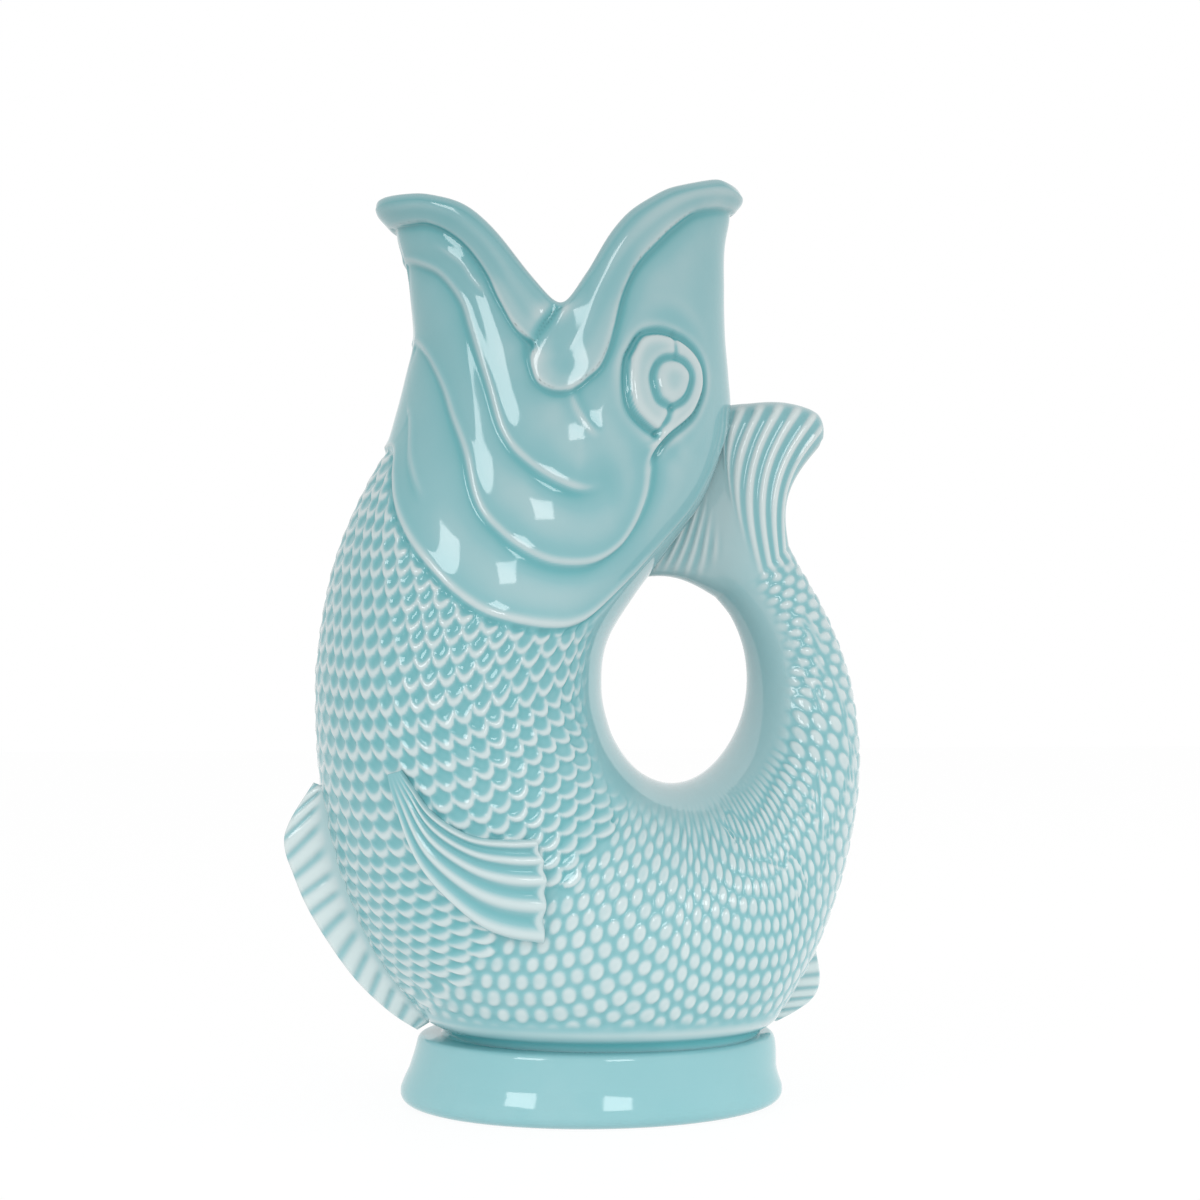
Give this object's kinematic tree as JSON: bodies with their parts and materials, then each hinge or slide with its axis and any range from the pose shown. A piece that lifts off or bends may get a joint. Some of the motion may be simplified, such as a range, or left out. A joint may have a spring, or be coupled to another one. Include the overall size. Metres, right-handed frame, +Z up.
{
  "type": "gurgle jug",
  "caption": "Glazed ceramic jug in the shape of an upright fish, with a pouring mouth, an oval foot and a hollow curled tail for a handle.",
  "frame": {"origin": "centre of the box's base, on the table under the foot", "axes": "+Z up, the pouring lip towards -X, the tail handle towards +X, the fish's sides towards +Y and -Y"},
  "size_m": [0.1519, 0.1074, 0.2401],
  "materials": {
    "glaze": "gloss",
    "glaze_pale": "gloss",
    "glaze_deep": "gloss"
  },
  "bodies": {
    "root": {"head_shell": "glaze", "body_shell": "glaze_pale", "tail_handle": "glaze_pale", "tail_fin": "glaze", "foot_ring": "glaze", "lower_lip": "glaze_pale", "upper_lip": "glaze_pale", "left_eye": "glaze_deep", "right_eye": "glaze_deep", "left_side_fin": "glaze_pale", "right_side_fin": "glaze_pale", "belly_fin": "glaze_pale", "anal_fin": "glaze_pale"}
  },
  "joints": []
}
